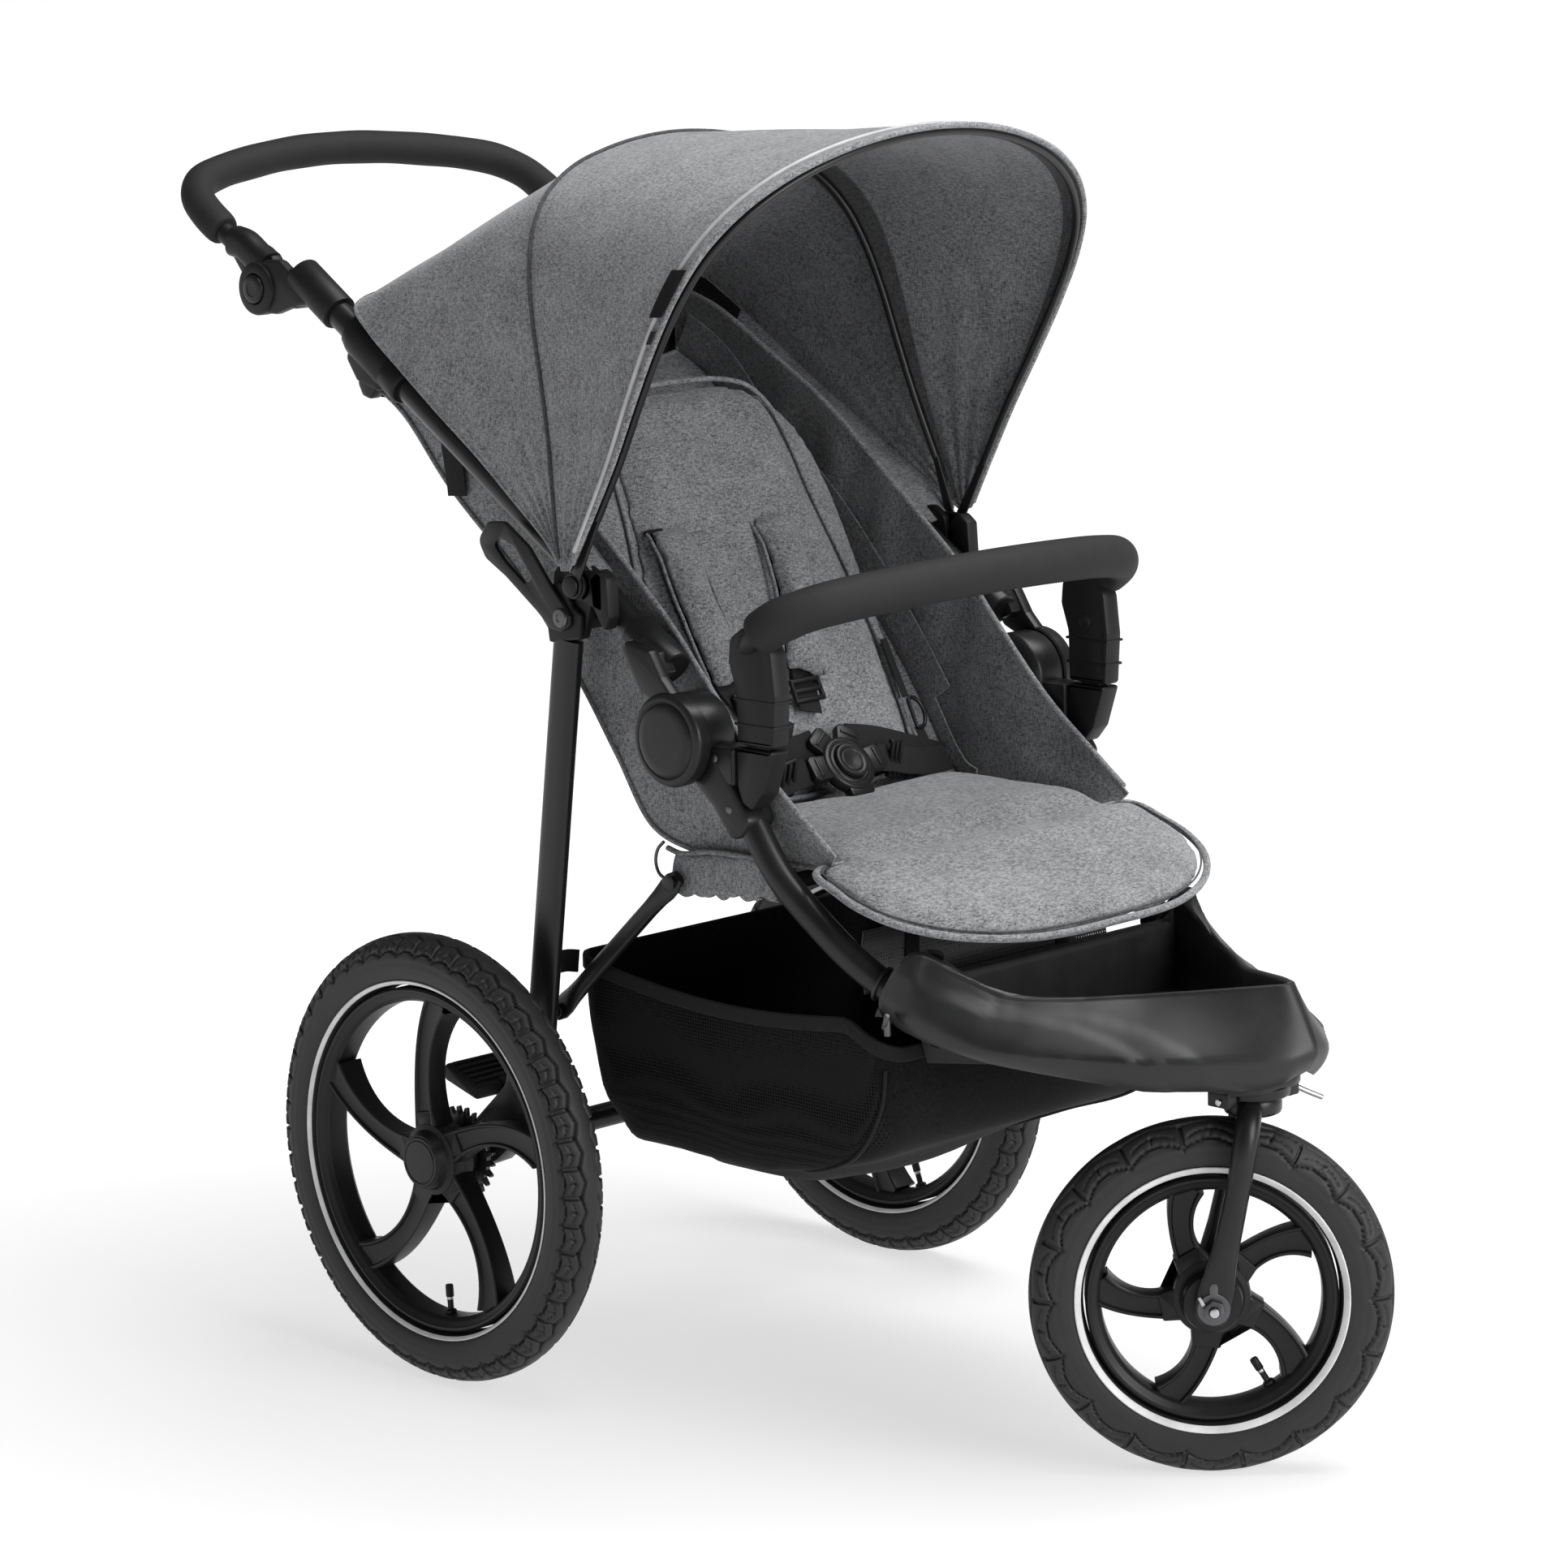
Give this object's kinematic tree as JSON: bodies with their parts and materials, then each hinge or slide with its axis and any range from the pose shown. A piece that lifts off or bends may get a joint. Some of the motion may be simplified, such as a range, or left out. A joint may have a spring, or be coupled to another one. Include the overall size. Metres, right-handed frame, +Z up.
{
  "type": "baby stroller",
  "caption": "Folding three-wheeled jogging stroller with a swivelling front wheel, hooded padded seat, bumper bar, under-seat basket and tilting handle.",
  "frame": {"origin": "under the middle of the whole object's box, on the ground", "axes": "+Z up, the front wheel points towards -Y, the seated child's left is +X"},
  "size_m": [0.602, 1.2414, 1.1119],
  "materials": {
    "tube": "satin black powder coat on steel and aluminium tube",
    "plastic": "matte black moulded plastic, fine grain",
    "foam": "charcoal closed-cell foam",
    "fabric": "mid-grey melange woven polyester with piped edges",
    "mesh": "black woven cloth and open mesh",
    "rubber": "matte dark grey tyre rubber with a pale reflective ring",
    "rim": "satin black moulded rim",
    "steel": "bare steel"
  },
  "bodies": {
    "chassis": {"lower_tube_left": "tube", "lower_tube_right": "tube", "hub_base_left": "plastic", "hub_base_right": "plastic", "bumper_socket_left": "plastic", "bumper_socket_right": "plastic", "front_tray": "plastic", "swivel_bearing": "plastic", "seat_frame": "tube", "seat_cushion": "fabric", "storage_basket": "mesh", "harness_buckle": "plastic"},
    "push_frame": {"push_tube_left": "tube", "push_tube_right": "tube", "hub_cap_left": "plastic", "hub_cap_right": "plastic", "collar_left": "plastic", "collar_right": "plastic", "handle_joint_left": "plastic", "handle_joint_right": "plastic", "canopy_mount_left": "plastic", "canopy_mount_right": "plastic", "seat_side_left": "fabric", "seat_side_right": "fabric"},
    "rear_legs": {"rear_leg_left": "tube", "rear_leg_right": "tube", "leg_head_left": "plastic", "leg_head_right": "plastic", "rear_axle": "tube"},
    "struts": {"strut_left": "tube", "strut_right": "tube"},
    "wheel_left": {"rear_tyre_left": "rubber", "rear_rim_left": "rim", "brake_rotor_left": "steel"},
    "wheel_right": {"rear_tyre_right": "rubber", "rear_rim_right": "rim", "brake_rotor_right": "steel"},
    "fork": {"front_fork": "tube"},
    "front_wheel": {"front_tyre": "rubber", "front_rim": "rim"},
    "handle": {"handle_bar": "tube", "handle_grip": "foam"},
    "handle_button_left": {"handle_button_left": "plastic"},
    "handle_button_right": {"handle_button_right": "plastic"},
    "fold_trigger_left": {"fold_trigger_left": "plastic"},
    "fold_trigger_right": {"fold_trigger_right": "plastic"},
    "canopy_mid": {"canopy_bow_mid": "tube", "canopy_rear_fabric": "fabric"},
    "canopy_front": {"canopy_bow_front": "tube", "canopy_front_fabric": "fabric"},
    "bumper": {"bumper_bar": "plastic", "bumper_grip": "foam"},
    "bumper_button_left": {"bumper_button_left": "plastic"},
    "bumper_button_right": {"bumper_button_right": "plastic"},
    "leg_rest": {"leg_rest_pad": "fabric"},
    "backrest": {"backrest_cushion": "fabric"},
    "brake_pedal": {"brake_pedal": "plastic"},
    "transport_catch": {"transport_catch": "plastic"},
    "swivel_lock": {"swivel_lock_lever": "steel"},
    "buckle_button": {"buckle_button": "plastic"}
  },
  "joints": [
    {"name": "fold", "type": "hinge", "parent": "chassis", "child": "push_frame", "pos_m": [0, -0.09008, 0.594], "axis": [1, 0, 0], "range_deg": [0, 60], "deforming": ["seat_side_left", "seat_side_right"]},
    {"name": "rear_leg_pivot", "type": "hinge", "parent": "push_frame", "child": "rear_legs", "pos_m": [0, 0.03592, 0.686], "axis": [1, 0, 0], "range_deg": [-26, 0.5]},
    {"name": "strut_pivot", "type": "hinge", "parent": "chassis", "child": "struts", "pos_m": [0, -0.05808, 0.464], "axis": [1, 0, 0], "range_deg": [-0.5, 49]},
    {"name": "wheel_left_spin", "type": "hinge", "parent": "rear_legs", "child": "wheel_left", "pos_m": [0.277, 0.16792, 0.2], "axis": [1, 0, 0], "continuous": true},
    {"name": "wheel_right_spin", "type": "hinge", "parent": "rear_legs", "child": "wheel_right", "pos_m": [-0.277, 0.16792, 0.2], "axis": [1, 0, 0], "continuous": true},
    {"name": "front_swivel", "type": "hinge", "parent": "chassis", "child": "fork", "pos_m": [0, -0.53109, 0.32], "axis": [0, 0, 1], "continuous": true},
    {"name": "front_wheel_spin", "type": "hinge", "parent": "fork", "child": "front_wheel", "pos_m": [-0.02423, -0.50582, 0.15], "axis": [0.7218, 0.6921, 0], "continuous": true},
    {"name": "handle_tilt", "type": "hinge", "parent": "push_frame", "child": "handle", "pos_m": [0, 0.45392, 0.944], "axis": [1, 0, 0], "range_deg": [-75, 0]},
    {"name": "handle_button_left_press", "type": "slide", "parent": "push_frame", "child": "handle_button_left", "axis": [-1, 0, 0], "range_m": [0, 0.003], "stiffness_N_per_m": 600, "springref_m": -0.002},
    {"name": "handle_button_right_press", "type": "slide", "parent": "push_frame", "child": "handle_button_right", "axis": [1, 0, 0], "range_m": [0, 0.003], "stiffness_N_per_m": 600, "springref_m": -0.002},
    {"name": "fold_trigger_left_pull", "type": "slide", "parent": "push_frame", "child": "fold_trigger_left", "axis": [0, 0.8371, 0.547], "range_m": [0, 0.01], "stiffness_N_per_m": 300, "springref_m": -0.003},
    {"name": "fold_trigger_right_pull", "type": "slide", "parent": "push_frame", "child": "fold_trigger_right", "axis": [0, 0.8371, 0.547], "range_m": [0, 0.01], "stiffness_N_per_m": 300, "springref_m": -0.003},
    {"name": "canopy_close", "type": "hinge", "parent": "push_frame", "child": "canopy_mid", "pos_m": [0, 0.01792, 0.715], "axis": [-1, 0, 0], "range_deg": [0, 34], "deforming": ["canopy_rear_fabric", "canopy_front_fabric"]},
    {"name": "canopy_front_close", "type": "hinge", "parent": "canopy_mid", "child": "canopy_front", "pos_m": [0, 0.01792, 0.715], "axis": [-1, 0, 0], "range_deg": [0, 40], "deforming": ["canopy_front_fabric", "canopy_rear_fabric"]},
    {"name": "bumper_pull_off", "type": "slide", "parent": "chassis", "child": "bumper", "axis": [0, 0, -1], "range_m": [-0.06, 0]},
    {"name": "bumper_button_left_press", "type": "slide", "parent": "bumper", "child": "bumper_button_left", "axis": [1, 0, 0], "range_m": [0, 0.002], "stiffness_N_per_m": 600, "springref_m": -0.002},
    {"name": "bumper_button_right_press", "type": "slide", "parent": "bumper", "child": "bumper_button_right", "axis": [-1, 0, 0], "range_m": [0, 0.002], "stiffness_N_per_m": 600, "springref_m": -0.002},
    {"name": "leg_rest_lift", "type": "hinge", "parent": "chassis", "child": "leg_rest", "pos_m": [0, -0.22209, 0.497], "axis": [-1, 0, 0], "range_deg": [0, 20]},
    {"name": "backrest_recline", "type": "hinge", "parent": "push_frame", "child": "backrest", "pos_m": [0, -0.03508, 0.516], "axis": [-1, 0, 0], "range_deg": [0, 28], "deforming": ["seat_side_left", "seat_side_right"]},
    {"name": "brake_press", "type": "hinge", "parent": "rear_legs", "child": "brake_pedal", "pos_m": [0, 0.16792, 0.2], "axis": [-1, 0, 0], "range_deg": [0, 22]},
    {"name": "transport_catch_swing", "type": "hinge", "parent": "rear_legs", "child": "transport_catch", "pos_m": [-0.2305, 0.03592, 0.686], "axis": [-1, 0, 0], "range_deg": [0, 80]},
    {"name": "swivel_lock_flip", "type": "hinge", "parent": "chassis", "child": "swivel_lock", "pos_m": [0.046, -0.53109, 0.319], "axis": [1, 0, 0], "range_deg": [0, 30]},
    {"name": "buckle_button_press", "type": "slide", "parent": "chassis", "child": "buckle_button", "axis": [0, 0.7828, -0.6223], "range_m": [0, 0.002], "stiffness_N_per_m": 600, "springref_m": -0.002}
  ],
  "couplings": [
    {"joint": "rear_leg_pivot", "follows": "fold", "ratio": -0.423},
    {"joint": "strut_pivot", "follows": "fold", "ratio": 0.81},
    {"joint": "canopy_front_close", "follows": "canopy_close", "ratio": 1.176}
  ]
}
